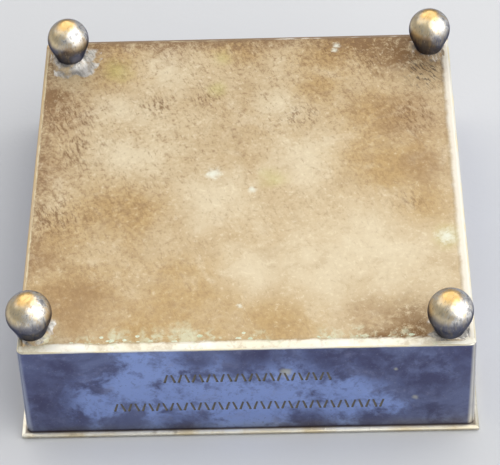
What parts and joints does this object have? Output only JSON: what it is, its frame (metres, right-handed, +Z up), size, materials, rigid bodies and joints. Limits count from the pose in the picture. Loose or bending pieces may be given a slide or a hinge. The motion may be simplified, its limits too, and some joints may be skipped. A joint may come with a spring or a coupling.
{
  "type": "ink blotter",
  "caption": "Square hand ink blotter: a shallow metal casing with ball feet on its back, pushed over a felt-faced wooden block wrapped in blotting paper.",
  "frame": {"origin": "centre of the blotting face, the lowest face of the outer blotting sheet", "axes": "+Z up through the casing towards the ball feet, -Y out of the engraved front wall, +X to the right seen from the front"},
  "size_m": [0.0665, 0.0662, 0.0255],
  "materials": {
    "back_plate": "tarnished silver plate, worn matt",
    "walls": "silver plate with blue-grey tarnish",
    "rim": "silver plate worn to the brass",
    "stop_strips": "dull brass",
    "ball_feet": "polished silver plate, brass showing at the crown",
    "solder": "dull grey solder",
    "block_wood": "waxed beech",
    "felt": "pressed wool felt",
    "inner_paper": "soft, unsized",
    "outer_paper": "soft, unsized, with ink marks",
    "spring_bronze": "phosphor bronze strip",
    "spring_pins": "turned brass",
    "clamp_steel": "tinned sheet",
    "clamp_screws": "slotted dome head"
  },
  "bodies": {
    "block": {"wood_block": "block_wood", "felt_cushion": "felt", "blotting_sheet_inner": "inner_paper", "blotting_sheet_outer": "outer_paper", "leaf_spring_left": "spring_bronze", "leaf_spring_right": "spring_bronze", "spring_pin_left": "spring_pins", "spring_pin_right": "spring_pins"},
    "casing": {"base_plate": "back_plate", "front_wall": "walls", "right_wall": "walls", "rear_wall": "walls", "left_wall": "walls", "rim_front": "rim", "rim_right": "rim", "rim_rear": "rim", "rim_left": "rim", "stop_strip_left": "stop_strips", "stop_strip_right": "stop_strips", "foot_front_left": "ball_feet", "foot_front_right": "ball_feet", "foot_rear_right": "ball_feet", "foot_rear_left": "ball_feet", "solder_front_left": "solder", "solder_front_right": "solder", "solder_rear_right": "solder", "solder_rear_left": "solder"},
    "clamp": {"clamp_plate": "clamp_steel"},
    "screw_left": {"clamp_screw_left": "clamp_screws"},
    "screw_right": {"clamp_screw_right": "clamp_screws"}
  },
  "joints": [
    {"name": "casing_lift", "type": "slide", "parent": "block", "child": "casing", "axis": [0, 0, 1], "range_m": [0, 0.024]},
    {"name": "clamp_lift", "type": "slide", "parent": "block", "child": "clamp", "axis": [0, 0, 1], "range_m": [0, 0.001]},
    {"name": "screw_turn_left", "type": "hinge", "parent": "clamp", "child": "screw_left", "pos_m": [-0.014, 0, 0.015], "axis": [0, 0, 1], "range_deg": [0, 450]},
    {"name": "screw_turn_right", "type": "hinge", "parent": "clamp", "child": "screw_right", "pos_m": [0.014, 0, 0.015], "axis": [0, 0, 1], "range_deg": [0, 450]}
  ],
  "couplings": [
    {"joint": "screw_turn_left", "follows": "clamp_lift", "rad_per_m": 7850},
    {"joint": "screw_turn_right", "follows": "clamp_lift", "rad_per_m": 7850}
  ]
}
